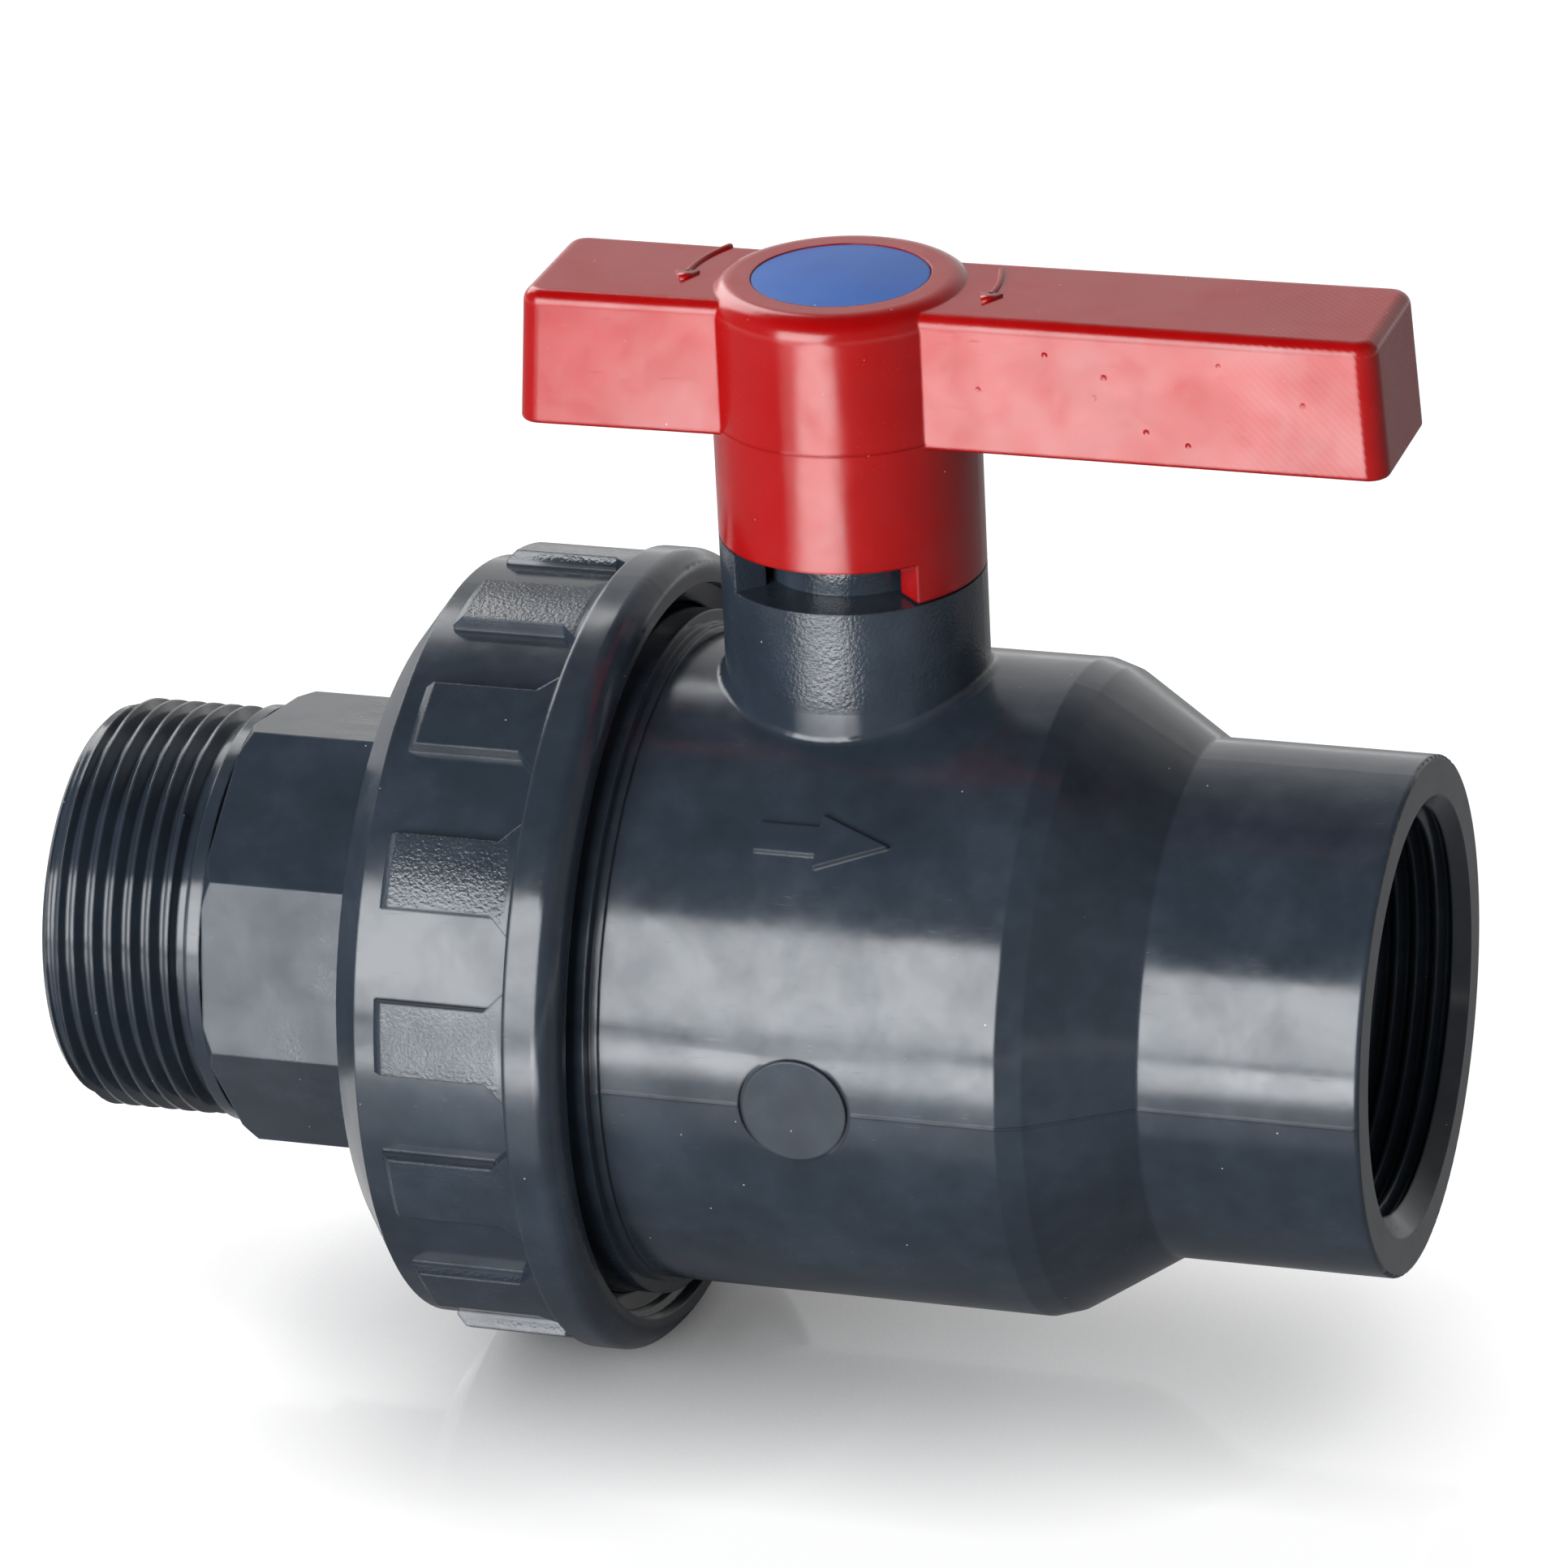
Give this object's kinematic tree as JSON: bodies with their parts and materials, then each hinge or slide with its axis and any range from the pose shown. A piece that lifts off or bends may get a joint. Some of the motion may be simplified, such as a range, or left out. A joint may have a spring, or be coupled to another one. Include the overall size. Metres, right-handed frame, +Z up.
{
  "type": "union ball valve",
  "caption": "In-line plastic ball valve with a threaded end on a union nut, a threaded socket end and a quarter-turn T handle.",
  "frame": {"origin": "centre of the ball, where the pipe axis and the stem axis cross", "axes": "+X along the pipe axis from the union end to the socket end, +Z up the stem to the handle, -Y the front"},
  "size_m": [0.157, 0.0924, 0.1305],
  "materials": {
    "body_plastic": "dark blue-grey moulded plastic, satin gloss",
    "nut_plastic": "dark blue-grey moulded plastic, satin gloss, textured lugs",
    "ball_plastic": "smooth turned plastic",
    "stem_plastic": "smooth turned plastic",
    "handle_red": "glossy moulded red plastic",
    "cap_blue": "glossy moulded blue plastic",
    "seat_white": "waxy white seat plastic",
    "seal_rubber": "black seal rubber",
    "screw_steel": "stainless steel"
  },
  "bodies": {
    "valve": {"valve_body": "body_plastic", "seat_carrier": "body_plastic", "carrier_o_ring": "seal_rubber", "face_seal_o_ring": "seal_rubber", "inlet_seat": "seat_white", "inlet_seat_cushion_ring": "seal_rubber", "outlet_seat": "seat_white", "outlet_seat_cushion_ring": "seal_rubber"},
    "turning_set": {"handle": "handle_red", "handle_washer": "screw_steel", "handle_screw": "screw_steel", "indicator_cap": "cap_blue", "stem": "stem_plastic", "stem_thrust_ring": "seat_white", "stem_o_ring_lower": "seal_rubber", "stem_o_ring_upper": "seal_rubber", "ball": "ball_plastic"},
    "connector": {"end_connector": "body_plastic"},
    "nut": {"union_nut": "nut_plastic"}
  },
  "joints": [
    {"name": "handle_turn", "type": "hinge", "parent": "valve", "child": "turning_set", "pos_m": [0, 0, 0], "axis": [0, 0, 1], "range_deg": [-90, 0]},
    {"name": "connector_slide", "type": "slide", "parent": "valve", "child": "connector", "axis": [-1, 0, 0], "range_m": [0, 0.0121]},
    {"name": "nut_spin", "type": "hinge", "parent": "connector", "child": "nut", "pos_m": [0, 0, 0], "axis": [-1, 0, 0], "range_deg": [0, 1080]}
  ],
  "couplings": [
    {"joint": "connector_slide", "follows": "nut_spin", "m_per_rad": 0.00063662}
  ]
}
